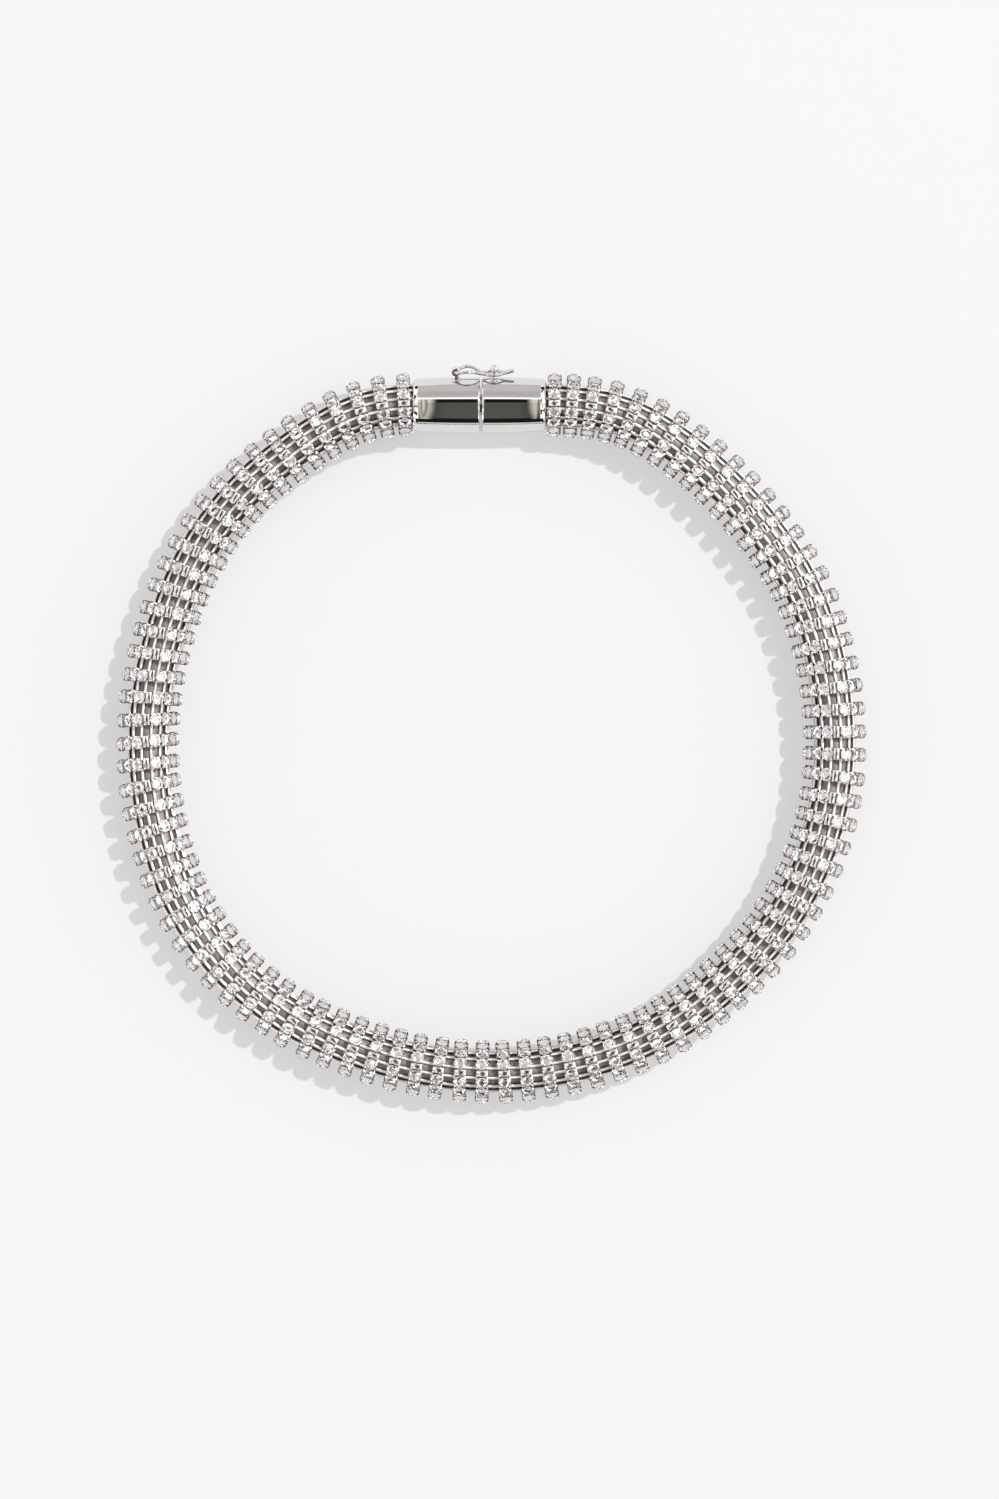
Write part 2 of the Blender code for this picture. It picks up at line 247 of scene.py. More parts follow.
socket_low, socket_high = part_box("clasp_socket_half")
plug_low, plug_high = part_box("clasp_plug_half")
SEAM = Vector(
    ((socket_high.x + plug_low.x) / 2, plug_low.y + TUBE_RADIUS, plug_low.z + TUBE_RADIUS)
)
AT_SEAM = Matrix.Translation(SEAM)


def add_piece(name, bm, materials, body, replaced, smooth_angle):
    """Turns a bmesh into a finished piece: shaded, placed, riding on its body."""
    mesh = bpy.data.meshes.new(name)
    bm.to_mesh(mesh)
    bm.free()
    mesh.transform(AT_SEAM)
    if smooth_angle:
        mesh.shade_smooth()
        mesh.set_sharp_from_angle(angle=smooth_angle)
    for material in materials:
        mesh.materials.append(material)
    piece = bpy.data.objects.new(name, mesh)
    bpy.context.scene.collection.objects.link(piece)
    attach(piece, body)
    if replaced:
        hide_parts(*replaced)
    return piece


def keep_mesh(name, bm):
    """A bmesh as a mesh that is copied later."""
    mesh = bpy.data.meshes.new(name)
    bm.to_mesh(mesh)
    bm.free()
    return mesh


def joined(copies):
    """One bmesh of many meshes, from pairs of a mesh and its place."""
    bm = bmesh.new()
    for mesh, place in copies:
        moved = mesh.copy()
        moved.transform(place)
        bm.from_mesh(moved, face_normals=False, vertex_normals=False)
        bpy.data.meshes.remove(moved)
    bm.normal_update()
    return bm


def mesh_points(mesh):
    """The places of a mesh's points, one row each."""
    points = np.empty(len(mesh.vertices) * 3)
    mesh.vertices.foreach_get("co", points)
    return points.reshape(-1, 3)


def write_attribute(piece, name, domain, values):
    """Stores one number for each point or face of a piece."""
    attribute = piece.data.attributes.new(name, "FLOAT", domain)
    attribute.data.foreach_set("value", np.asarray(values, dtype=np.float32))


def tube_bmesh(lines, radius, rings, cyclic=False):
    """Round wires along lists of points, made by a curve's bevel."""
    curve = bpy.data.curves.new("wire", "CURVE")
    curve.dimensions = "3D"
    curve.bevel_depth = radius
    curve.bevel_resolution = rings
    curve.use_fill_caps = not cyclic
    for points in lines:
        spline = curve.splines.new("POLY")
        spline.points.add(len(points) - 1)
        for target, point in zip(spline.points, points):
            target.co = (*point, 1)
        spline.use_cyclic_u = cyclic
    guide = bpy.data.objects.new("wire", curve)
    bpy.context.scene.collection.objects.link(guide)
    bm = bmesh.new()
    bm.from_mesh(guide.to_mesh())
    bpy.data.objects.remove(guide, do_unlink=True)
    bmesh.ops.remove_doubles(bm, verts=bm.verts, dist=MERGE_DISTANCE)
    bmesh.ops.recalc_face_normals(bm, faces=bm.faces)
    return bm


def smooth_points(points, first_way, last_way, steps):
    """Points on a smooth curve through the given ones, which leaves and arrives the given ways."""
    ways = [first_way]
    for before, after in zip(points[:-2], points[2:]):
        ways.append((after - before).normalized())
    ways.append(last_way)
    result = []
    for index in range(len(points) - 1):
        start = points[index]
        end = points[index + 1]
        reach = (end - start).length / 3
        out_handle = start + ways[index] * reach
        in_handle = end - ways[index + 1] * reach
        for step in range(steps):
            share = step / steps
            rest = 1 - share
            result.append(
                start * rest**3
                + out_handle * (3 * rest**2 * share)
                + in_handle * (3 * rest * share**2)
                + end * share**3
            )
    result.append(points[-1])
    return result


class Route:
    """The rope's centreline, read by the length along it."""

    def __init__(self):
        along = Vector((1, 0, 0))
        chosen = [Vector((ROPE_START, 0, 0))]
        chosen += [Vector((x * MM, y * MM, 0)) for x, y in ROUTE_POINTS]
        chosen.append(Vector((-ROPE_END, 0, 0)))
        seat = along * CAGE_SEAT_DEPTH
        points = smooth_points(chosen, along, along, ROUTE_STEPS)
        points = [points[0] - seat] + points + [points[-1] + seat]
        self.points = np.array(points)
        steps = np.linalg.norm(np.diff(self.points, axis=0), axis=1)
        self.lengths = np.concatenate([[0], np.cumsum(steps)]) - CAGE_SEAT_DEPTH
        self.length = self.lengths[-1] - CAGE_SEAT_DEPTH

    def place(self, length):
        """The point on the centreline that many metres from the rope's start."""
        return Vector([np.interp(length, self.lengths, self.points[:, axis]) for axis in range(3)])

    def outward(self, length):
        """The level direction out of the loop at that point."""
        reach = RING_WIDTH / 2
        along = (self.place(length + reach) - self.place(length - reach)).normalized()
        return Vector((-along.y, along.x, 0))

    def section(self, length):
        """Axes of a cross-section as a matrix: X along the rope, Y out of the loop, Z up."""
        outward = self.outward(length)
        along = Vector((outward.y, -outward.x, 0))
        turn = Matrix((along, outward, Vector((0, 0, 1)))).transposed().to_4x4()
        return Matrix.Translation(self.place(length)) @ turn


def ring_places(route):
    """How far along the rope each ring's middle is: closer together by the clasp."""
    steps = []
    for index in range(RING_COUNT - 1):
        steps.append(1 - END_TIGHTENING * math.exp(-index / END_TIGHT_RINGS))
    scale = (route.length - RING_WIDTH) / sum(steps)
    places = [RING_WIDTH / 2]
    for step in steps:
        places.append(places[-1] + step * scale)
    return places


def cup_angles():
    """Angles of the cups' middles, from straight up towards the outside of the loop."""
    cup_angle = (2 * math.pi - RING_SEAM_ANGLE) / RING_STONES
    return [RING_SEAM_ANGLE / 2 + cup_angle * (index + 0.5) for index in range(RING_STONES)]


def at_angle(angle, height):
    """Place in a ring, turned so that Z points away from the rope's middle."""
    return Matrix.Rotation(-angle, 4, "X") @ Matrix.Translation((0, 0, height))


def stone_mesh():
    """One round cut stone, table up, with its girdle round the origin."""
    bm = bmesh.new()
    corner = 2 * math.pi / GIRDLE_SIDES
    slope = CROWN_HEIGHT / (1 - TABLE_SHARE)
    star_height = slope * (1 - STAR_SHARE * math.cos(corner))
    bm.verts.new((0, 0, -PAVILION_DEPTH))
    for index in range(GIRDLE_SIDES):
        angle = index * corner
        way = Vector((math.cos(angle), math.sin(angle), 0)) * STONE_RADIUS
        bm.verts.new(way)
        if index % 2 == 0:
            bm.verts.new(way * TABLE_SHARE + Vector((0, 0, CROWN_HEIGHT)))
            bm.verts.new(way * PAVILION_BREAK[0] - Vector((0, 0, PAVILION_DEPTH * PAVILION_BREAK[1])))
        else:
            bm.verts.new(way * STAR_SHARE + Vector((0, 0, star_height)))
    bmesh.ops.convex_hull(bm, input=bm.verts)
    bmesh.ops.dissolve_limit(
        bm, angle_limit=math.radians(1), verts=bm.verts, edges=bm.edges, delimit={"NORMAL"},
    )
    bmesh.ops.recalc_face_normals(bm, faces=bm.faces)
    for face in bm.faces:
        if face.normal.z < 0:
            face.material_index = 1
    return keep_mesh("stone", bm)


def cup_mesh():
    """One cup with four prongs, in the axes of the stone that it holds."""
    bm = bmesh.new()
    floor = CAGE_RADIUS - GIRDLE_HEIGHT - CUP_SINK
    depth = -CUP_RIM_DROP - floor
    bmesh.ops.create_cone(
        bm, cap_ends=True, segments=8, radius1=1, radius2=1, depth=depth,
        matrix=Matrix.Translation((0, 0, floor + depth / 2)) @ Matrix.Rotation(math.pi / 8, 4, "Z"),
    )
    flat = math.cos(math.pi / 8)
    middle = floor + depth / 2
    low = [vertex for vertex in bm.verts if vertex.co.z < middle]
    high = [vertex for vertex in bm.verts if vertex.co.z > middle]
    bmesh.ops.scale(bm, vec=(CUP_FLOOR_ALONG / flat, CUP_FLOOR_AROUND / flat, 1), verts=low)
    bmesh.ops.scale(bm, vec=(CUP_TOP_ALONG / flat, CUP_TOP_AROUND / flat, 1), verts=high)
    top = max(bm.faces, key=lambda face: face.calc_center_median().z)
    bmesh.ops.inset_region(bm, faces=[top], thickness=CUP_WALL, use_even_offset=True)
    bmesh.ops.translate(bm, vec=(0, 0, -CUP_SEAT), verts=top.verts)
    diagonal = math.atan2(CUP_TOP_AROUND, CUP_TOP_ALONG)
    for angle in (diagonal, math.pi - diagonal, math.pi + diagonal, -diagonal):
        add_prong(bm, angle)
    bmesh.ops.recalc_face_normals(bm, faces=bm.faces)
    return keep_mesh("cup", bm)


def add_prong(bm, angle):
    """One prong that stands on the cup's wall and bends over the stone."""
    height = PRONG_TOP + PRONG_ROOT
    size = Matrix.Diagonal((PRONG_THICKNESS, PRONG_WIDTH, height, 1))
    stand = Matrix.Translation((PRONG_REACH, 0, PRONG_TOP - height / 2))
    made = bmesh.ops.create_cube(bm, size=1, matrix=stand @ size)
    verts = made["verts"]
    bottom = [vertex for vertex in verts if vertex.co.z < 0]
    bmesh.ops.translate(bm, vec=(-PRONG_SPLAY, 0, 0), verts=bottom)
    faces = set(face for vertex in verts for face in vertex.link_faces)
    top = max(faces, key=lambda face: face.calc_center_median().z)
    bent = bmesh.ops.extrude_discrete_faces(bm, faces=[top])
    tip = bent["faces"][0]
    lean = Vector((-PRONG_LEAN * PRONG_THICKNESS, 0, PRONG_TIP - PRONG_TOP))
    bmesh.ops.translate(bm, vec=lean, verts=tip.verts)
    middle = tip.calc_center_median()
    narrow = (PRONG_TAPER, PRONG_TAPER, 1)
    bmesh.ops.scale(bm, vec=narrow, space=Matrix.Translation(-middle), verts=tip.verts)
    whole = set(verts) | set(tip.verts)
    bmesh.ops.rotate(bm, cent=(0, 0, 0), matrix=Matrix.Rotation(angle, 3, "Z"), verts=list(whole))


def link_mesh():
    """The link that closes a ring, between its first and last cup."""
    bm = bmesh.new()
    size = Matrix.Diagonal((LINK_WIDTH, LINK_LENGTH, LINK_THICKNESS, 1))
    middle = Matrix.Translation((0, 0, LINK_HEIGHT - LINK_THICKNESS / 2))
    bmesh.ops.create_cube(bm, size=1, matrix=middle @ size)
    bmesh.ops.bevel(
        bm, geom=bm.edges[:], offset=LINK_ROUND, segments=3, profile=0.5, affect="EDGES",
        material=-1,
    )
    bm.normal_update()
    top = max(bm.faces, key=lambda face: (round(face.normal.z, 3), face.calc_area()))
    bmesh.ops.inset_region(bm, faces=[top], thickness=LINK_RIM)
    bmesh.ops.scale(
        bm, vec=(*LINK_HOLE, 1), space=Matrix.Translation((-LINK_HOLE_SHIFT, 0, 0)),
        verts=top.verts,
    )
    well = bmesh.ops.extrude_discrete_faces(bm, faces=[top])["faces"][0]
    bmesh.ops.translate(bm, vec=(0, 0, -LINK_HOLE_DEPTH * LINK_THICKNESS), verts=well.verts)
    well.material_index = 1
    for edge in well.edges:
        for face in edge.link_faces:
            face.material_index = 1
    bmesh.ops.recalc_face_normals(bm, faces=bm.faces)
    return keep_mesh("link", bm)


def add_rings(route, places, side, materials, chance, node):
    """Cups, stones and links of one half of the rope."""
    cup = cup_mesh()
    stone = stone_mesh()
    link = link_mesh()
    cups = []
    stones = []
    links = []
    stretch = Matrix.Scale(STONE_STRETCH, 4, Vector((1, 0, 0)))
    for place in places:
        lean = np.interp(place / route.length, *zip(*RING_LEANS))
        wander = chance.uniform(-1, 1) * RING_WANDER * min(abs(lean), 1)
        ring = route.section(place) @ Matrix.Rotation(math.radians(lean) + wander, 4, "Z")
        links.append((link, ring))
        for angle in cup_angles():
            spot = ring @ at_angle(angle, GIRDLE_HEIGHT)
            turn = Matrix.Rotation(chance.uniform(0, math.pi / 4), 4, "Z")
            tip = Matrix.Rotation(math.radians(chance.gauss(0, STONE_TILT)), 4, "X")
            tilt = Matrix.Rotation(math.radians(chance.gauss(0, STONE_TILT)), 4, "Y")
            cups.append((cup, spot))
            stones.append((stone, spot @ stretch @ tip @ tilt @ turn))
    # Painted shade in the cups: the deeper a point lies under the stone's girdle, the darker, fully
    # shaded near the cup's floor.
    shade_and_patina = np.clip(-mesh_points(cup)[:, 2] / (GIRDLE_HEIGHT - CAGE_RADIUS), 0, 1)
    cup_piece = add_piece(
        "cups_" + side, joined(cups), [materials["cup_metal"]], "necklace", [node],
        CUP_SHARP,
    )
    write_attribute(cup_piece, "shade_and_patina", "POINT", np.tile(shade_and_patina, len(cups)))
    stone_piece = add_piece(
        "stones_" + side, joined(stones), [materials["crystal"], materials["foil"]],
        "necklace", [node], None,
    )
    tints = [chance.random() for stone_index in stones]
    write_attribute(stone_piece, "tint", "FACE", np.repeat(tints, len(stone.polygons)))
    add_piece(
        "links_" + side, joined(links), [materials["cup_metal"], materials["brass"]],
        "necklace", [node], LINK_SHARP,
    )


def add_bars(route, start, end, side, material, core_material, node):
    """Bars and the tube inside them along one half of the rope."""
    lengths = np.linspace(start, end, BAR_SECTIONS // 2)
    sections = [route.section(length) for length in lengths]
    lines = []
    for index in range(BAR_COUNT):
        spot = at_angle(2 * math.pi * (index + 0.5) / BAR_COUNT, BAR_PLACE)
        lines.append([(section @ spot).translation for section in sections])
    bm = tube_bmesh(lines, BAR_RADIUS, BAR_ROUNDNESS)
    piece = add_piece("bars_" + side, bm, [material], "necklace", [node], BAR_SHARP)
    # Painted shade on the bars' sides towards the tube inside them.
    write_attribute(piece, "shade_and_patina", "POINT", inner_side(piece, sections))
    core = tube_bmesh([[section.translation for section in sections]], CORE_RADIUS, CORE_ROUNDNESS)
    add_piece(
        "core_tube_" + side, core, [core_material], "necklace", [node], BAR_SHARP,
    )


def inner_side(piece, sections):
    """Painted shade on the bars, from 0 to 1: how far each point of the bars faces the hollow middle
    of the rope.
    """
    points = mesh_points(piece.data)[:, np.newaxis]
    middles = np.array([section.translation + SEAM for section in sections])
    heights = np.linalg.norm(points - middles, axis=2).min(axis=1)
    shares = (heights - BAR_PLACE) / BAR_RADIUS
    return np.clip((BAR_UNSHADED_ABOVE - shares) / (BAR_UNSHADED_ABOVE - BAR_FULL_SHADE_BELOW), 0, 1)


def turned(profile, sides):
    """A solid turned about X from (x, radius) points that start and end on the axis."""
    bm = bmesh.new()
    line = [bm.verts.new((x, radius, 0)) for x, radius in profile]
    edges = [bm.edges.new(pair) for pair in zip(line[:-1], line[1:])]
    bmesh.ops.spin(
        bm, geom=line + edges, cent=(0, 0, 0), axis=(1, 0, 0), angle=2 * math.pi, steps=sides,
        use_merge=True,
    )
    bmesh.ops.remove_doubles(bm, verts=bm.verts, dist=MERGE_DISTANCE)
    bmesh.ops.recalc_face_normals(bm, faces=bm.faces)
    return bm


def arc(centre, radius_x, radius_y, first, last, steps):
    """Points on a quarter of an ellipse in a turned profile, angles in degrees."""
    result = []
    for step in range(steps + 1):
        angle = math.radians(first + (last - first) * step / steps)
        result.append((centre[0] + radius_x * math.cos(angle), centre[1] + radius_y * math.sin(angle)))
    return result


def half_profile(length, tongue_depth):
    """Profile of one half of the tube, from its seam at x = FIT_GAP / 2 out to its rope end."""
    bore = TONGUE_RADIUS + FIT_GAP
    seat = CAGE_RADIUS + FIT_GAP
    seam = FIT_GAP / 2
    profile = [(seam + tongue_depth, 0), (seam + tongue_depth, bore), (seam, bore)]
    profile += arc(
        (seam + LIP_ROUND, TUBE_RADIUS - LIP_ROUND), LIP_ROUND, LIP_ROUND, 180, 90, LIP_STEPS
    )
    crown = length - SHOULDER_LENGTH - LIP_ROUND
    for step in range(1, CROWN_STEPS):
        share = step / CROWN_STEPS
        fall = (TUBE_RADIUS - TUBE_SHOULDER_RADIUS) * share**CROWN_POWER
        profile.append((LIP_ROUND + crown * share, TUBE_RADIUS - fall))
    profile += arc(
        (length - SHOULDER_LENGTH, TUBE_END_RADIUS), SHOULDER_LENGTH,
        TUBE_SHOULDER_RADIUS - TUBE_END_RADIUS, 90, 0, SHOULDER_STEPS,
    )
    floor = length - CAGE_SEAT_DEPTH
    profile += [(length, seat), (floor, seat), (floor, 0)]
    return profile


def catch_frame():
    """Local axes of the catch as a matrix: X along the tube, Y across the catch, Z off the tube."""
    across = Vector((0, -math.sin(CATCH_TURN), math.cos(CATCH_TURN)))
    off = Vector((0, math.cos(CATCH_TURN), math.sin(CATCH_TURN)))
    return Matrix((Vector((1, 0, 0)), -across, off)).transposed().to_4x4()


def add_into(bm, extra):
    """Adds one bmesh to another."""
    mesh = keep_mesh("extra", extra)
    bm.from_mesh(mesh)
    bpy.data.meshes.remove(mesh)


def shade_seam(piece):
    """Marks the faces of a clasp half that stand inside the seam, where little light gets in."""
    points = mesh_points(piece.data) - np.array(SEAM)
    depths = TUBE_RADIUS - np.linalg.norm(points[:, 1:], axis=1)
    inside = np.clip((depths - SEAM_UNSHADED_DEPTH) / (SEAM_FULL_SHADE_DEPTH - SEAM_UNSHADED_DEPTH), 0, 1)
    at_seam = np.abs(points[:, 0]) < (FIT_GAP + LIP_ROUND) / 2
    # Painted shade in the seam's groove, added to an even tarnish over the whole half.
    shade_and_patina = TUBE_TARNISH + SEAM_SHADE_STRENGTH * np.where(at_seam, inside, 0)
    write_attribute(piece, "shade_and_patina", "POINT", shade_and_patina)


def add_socket_half(material):
    """The half of the tube that carries the catch's hinge lug."""
    bm = turned(half_profile(SOCKET_LENGTH, TONGUE_IN_SOCKET), TUBE_SIDES)
    bmesh.ops.scale(bm, vec=(-1, 1, 1), verts=bm.verts)
    bmesh.ops.recalc_face_normals(bm, faces=bm.faces)

    hole = CATCH_WIRE_RADIUS + PIN_CLEARANCE
    half_length = LUG_LENGTH / 2
    knuckle = bmesh.new()
    rim = [
        (-half_length, hole), (-half_length, LUG_RADIUS - LUG_EDGE),
        (-half_length + LUG_EDGE, LUG_RADIUS), (half_length - LUG_EDGE, LUG_RADIUS),
        (half_length, LUG_RADIUS - LUG_EDGE), (half_length, hole),
    ]
    line = [knuckle.verts.new((x, radius, 0)) for x, radius in rim]
    edges = [knuckle.edges.new(pair) for pair in zip(line, line[1:] + line[:1])]
    bmesh.ops.spin(
        knuckle, geom=line + edges, cent=(0, 0, 0), axis=(1, 0, 0), angle=2 * math.pi,
        steps=PIN_SIDES, use_merge=True,
    )
    bmesh.ops.remove_doubles(knuckle, verts=knuckle.verts, dist=MERGE_DISTANCE)
    bmesh.ops.recalc_face_normals(knuckle, faces=knuckle.faces)
    centre = Matrix.Translation((-HINGE_BACK, 0, HINGE_HEIGHT))
    crosswise = Matrix.Rotation(math.pi / 2, 4, "Z")
    bmesh.ops.transform(knuckle, matrix=catch_frame() @ centre @ crosswise, verts=knuckle.verts)
    add_into(bm, knuckle)

    foot = bmesh.new()
    foot_top = HINGE_HEIGHT - hole - FOOT_CLEARANCE
    foot_bottom = TUBE_RADIUS - FOOT_SINK
    size = Matrix.Diagonal(
        (FOOT_SHARES[0] * LUG_RADIUS, FOOT_SHARES[1] * LUG_LENGTH, foot_top - foot_bottom, 1)
    )
    middle = Matrix.Translation((-HINGE_BACK, 0, (foot_top + foot_bottom) / 2))
    bmesh.ops.create_cube(foot, size=1, matrix=catch_frame() @ middle @ size)
    bmesh.ops.bevel(
        foot, geom=foot.edges[:], offset=LUG_EDGE, segments=3, profile=0.5, affect="EDGES",
        material=-1,
    )
    add_into(bm, foot)
    piece = add_piece(
        "tube_socket_half", bm, [material], "necklace", ["clasp_socket_half"],
        TUBE_SHARP,
    )
    shade_seam(piece)


def ball_place():
    """Where along the tube the ball stands: in the middle of the catch's small loop."""
    return BALL_SHARE * CATCH_LENGTH - HINGE_BACK


def add_plug_half(material):
    """The half of the tube with the ball peg that the catch snaps over."""
    bm = turned(half_profile(PLUG_LENGTH, TONGUE_IN_PLUG), TUBE_SIDES)
    ball_height = TUBE_RADIUS + BALL_LIFT
    neck = ball_height - math.sqrt(BALL_RADIUS**2 - PEG_RADIUS**2)
    start = math.degrees(math.atan2(PEG_RADIUS, neck - ball_height))
    profile = [(TUBE_RADIUS - BALL_RADIUS, 0), (TUBE_RADIUS - BALL_RADIUS, PEG_RADIUS)]
    profile += arc((ball_height, 0), BALL_RADIUS, BALL_RADIUS, start, 0, BALL_STEPS)
    peg = turned(profile, PIN_SIDES)
    stand_up = Matrix.Rotation(-math.pi / 2, 4, "Y")
    along = Matrix.Translation((ball_place(), 0, 0))
    bmesh.ops.transform(peg, matrix=catch_frame() @ along @ stand_up, verts=peg.verts)
    add_into(bm, peg)
    piece = add_piece(
        "tube_plug_half", bm, [material], "necklace", ["clasp_plug_half"],
        TUBE_SHARP,
    )
    shade_seam(piece)


def catch_line():
    """Closed line of the bent wire in the catch's own axes, with the hinge pin across its start."""
    pin_end = LUG_LENGTH / 2 + PIN_CLEARANCE
    side = pin_end + CATCH_WIRE_RADIUS + PIN_CLEARANCE
    pin = Vector((0, pin_end, HINGE_HEIGHT))
    heel = [
        Vector((along * CATCH_WIRE_RADIUS, width * side, TUBE_RADIUS + height * CATCH_LIFT))
        for along, width, height in CATCH_HEEL
    ]
    outer = [
        Vector((along * CATCH_LENGTH, width * CATCH_HALF_WIDTH, TUBE_RADIUS + height * CATCH_LIFT))
        for along, width, height in CATCH_OUTLINE
    ]
    tip = Vector((CATCH_LENGTH, 0, TUBE_RADIUS + CATCH_OUTLINE[-1][2] * CATCH_LIFT))
    across = Vector((0, 1, 0))
    half = smooth_points([pin] + heel + outer + [tip], across, -across, WIRE_STEPS)
    mirrored = [Vector((point.x, -point.y, point.z)) for point in reversed(half[:-1])]
    return [point - Vector((HINGE_BACK, 0, 0)) for point in half + mirrored]


def add_catch(material):
    """The figure-eight wire with its thumb tab."""
    bm = tube_bmesh([catch_line()], CATCH_WIRE_RADIUS, WIRE_ROUNDNESS, cyclic=True)
    tab = bmesh.new()
    size = Matrix.Diagonal((TAB_LENGTH, TAB_WIDTH, TAB_THICKNESS, 1))
    bmesh.ops.create_cube(tab, size=1, matrix=Matrix.Translation((TAB_LENGTH / 2, 0, 0)) @ size)
    bmesh.ops.bevel(
        tab, geom=tab.edges[:], offset=TAB_ROUND * TAB_THICKNESS, segments=4, profile=0.5,
        affect="EDGES", material=-1,
    )
    root = Vector((CATCH_LENGTH - HINGE_BACK, 0, TUBE_RADIUS + CATCH_OUTLINE[-1][2] * CATCH_LIFT))
    slope = Matrix.Rotation(-TAB_SLOPE, 4, "Y")
    bmesh.ops.transform(tab, matrix=Matrix.Translation(root) @ slope, verts=tab.verts)
    add_into(bm, tab)
    bmesh.ops.transform(bm, matrix=catch_frame(), verts=bm.verts)
    piece = add_piece(
        "figure_eight_catch", bm, [material], "safety_catch", ["safety_catch"],
        WIRE_SHARP,
    )
    # Painted shade on the catch: the wire's side that faces the tube is painted darker.
    off_tube = catch_frame().col[2].xyz
    facing = np.array([vertex.normal.dot(off_tube) for vertex in piece.data.vertices])
    shade_and_patina = (WIRE_UNSHADED_ABOVE - facing) / (WIRE_UNSHADED_ABOVE - WIRE_FULL_SHADE_BELOW)
    write_attribute(piece, "shade_and_patina", "POINT", np.clip(shade_and_patina, 0, 1))


def new_material(name, colour, metallic, roughness):
    """A material with its shader's plain values set."""
    material = bpy.data.materials.new(name)
    material.use_nodes = True
    shader = material.node_tree.nodes["Principled BSDF"]
    shader.inputs["Base Color"].default_value = (*colour, 1)
    shader.inputs["Metallic"].default_value = metallic
    shader.inputs["Roughness"].default_value = roughness
    return material, shader


def add_node(tree, kind, **values):
    """A node with its named inputs set."""
    node = tree.nodes.new(kind)
    for name, value in values.items():
        node.inputs[name.replace("_", " ")].default_value = value
    return node


def math_node(tree, operation, first, second=None):
    """A Math node on two sockets or numbers."""
    node = tree.nodes.new("ShaderNodeMath")
    node.operation = operation
    for socket, value in zip(node.inputs, (first, second)):
        if value is None:
            continue
        if isinstance(value, (int, float)):
            socket.default_value = value
        else:
            tree.links.new(value, socket)
    return node.outputs["Value"]


def range_node(tree, value, low, high, to_low, to_high, smooth=True):
    """A value moved from one range to another."""
    node = add_node(
        tree, "ShaderNodeMapRange", From_Min=low, From_Max=high, To_Min=to_low, To_Max=to_high
    )
    node.interpolation_type = "SMOOTHSTEP" if smooth else "LINEAR"
    tree.links.new(value, node.inputs["Value"])
    return node.outputs["Result"]


def mix_colour(tree, factor, first, second):
    """A Mix node for two colours, sockets or plain."""
    node = tree.nodes.new("ShaderNodeMix")
    node.data_type = "RGBA"
    for socket, value in ((node.inputs[0], factor), (node.inputs[6], first), (node.inputs[7], second)):
        if isinstance(value, bpy.types.NodeSocket):
            tree.links.new(value, socket)
        elif isinstance(value, tuple):
            socket.default_value = (*value, 1)
        else:
            socket.default_value = value
    return node.outputs[2]


def stepped_colours(tree, value, steps):
    """A colour picked by a value from 0 to 1. Each step is where a colour starts, and the colour."""
    ramp = tree.nodes.new("ShaderNodeValToRGB")
    ramp.color_ramp.interpolation = "CONSTANT"
    points = ramp.color_ramp.elements
    while len(points) < len(steps):
        points.new(0.5)
    for index, (start, colour) in enumerate(steps):
        points[index].position = start
        points[index].color = (*colour, 1)
    tree.links.new(value, ramp.inputs["Fac"])
    return ramp.outputs["Color"]


def new_group(name, inputs, outputs):
    """An empty shader group with named sockets."""
    group = bpy.data.node_groups.new(name, "ShaderNodeTree")
    for socket_name, kind, value in inputs:
        socket = group.interface.new_socket(name=socket_name, in_out="INPUT", socket_type=kind)
        socket.default_value = value
    for socket_name, kind in outputs:
        group.interface.new_socket(name=socket_name, in_out="OUTPUT", socket_type=kind)
    entry = group.nodes.new("NodeGroupInput")
    leave = group.nodes.new("NodeGroupOutput")
    return group, entry, leave


def plated_group():
    """Plated metal: painted shade and tarnish darken it towards a warm second colour by the amount
    given, patchy under clouds; cloudy roughness and fine marks.
    """
    group, entry, leave = new_group(
        "plated_metal",
        [
            ("Plate", "NodeSocketColor", (0.8, 0.8, 0.8, 1)),
            ("Shade And Patina Colour", "NodeSocketColor", (0.4, 0.3, 0.2, 1)),
            ("Shade And Patina", "NodeSocketFloat", 0.0),
            ("Cloud Size", "NodeSocketFloat", 700.0),
            ("Mark Size", "NodeSocketFloat", 6000.0),
            ("Least Roughness", "NodeSocketFloat", 0.05),
            ("Most Roughness", "NodeSocketFloat", 0.2),
        ],
        [
            ("Color", "NodeSocketColor"),
            ("Roughness", "NodeSocketFloat"),
            ("Height", "NodeSocketFloat"),
        ],
    )
    place = group.nodes.new("ShaderNodeTexCoord").outputs["Object"]
    clouds = add_node(group, "ShaderNodeTexNoise", Detail=3.0, Roughness=0.6)
    marks = add_node(group, "ShaderNodeTexNoise", Detail=2.0)
    group.links.new(place, clouds.inputs["Vector"])
    group.links.new(place, marks.inputs["Vector"])
    group.links.new(entry.outputs["Cloud Size"], clouds.inputs["Scale"])
    group.links.new(entry.outputs["Mark Size"], marks.inputs["Scale"])
    # The painted shade and the tarnish are patchy under the clouds.
    cloud = range_node(group, clouds.outputs["Fac"], 0.35, 0.7, 0.0, 1.0)
    cover = math_node(group, "ADD", math_node(group, "MULTIPLY", cloud, 0.5), 0.5)
    shade_and_patina_share = math_node(group, "MULTIPLY", cover, entry.outputs["Shade And Patina"])
    group.links.new(
        mix_colour(group, shade_and_patina_share, entry.outputs["Plate"], entry.outputs["Shade And Patina Colour"]),
        leave.inputs["Color"],
    )
    spread = math_node(
        group, "SUBTRACT", entry.outputs["Most Roughness"], entry.outputs["Least Roughness"]
    )
    extra = math_node(group, "MULTIPLY", cloud, spread)
    group.links.new(
        math_node(group, "ADD", extra, entry.outputs["Least Roughness"]), leave.inputs["Roughness"]
    )
    group.links.new(marks.outputs["Fac"], leave.inputs["Height"])
    return group


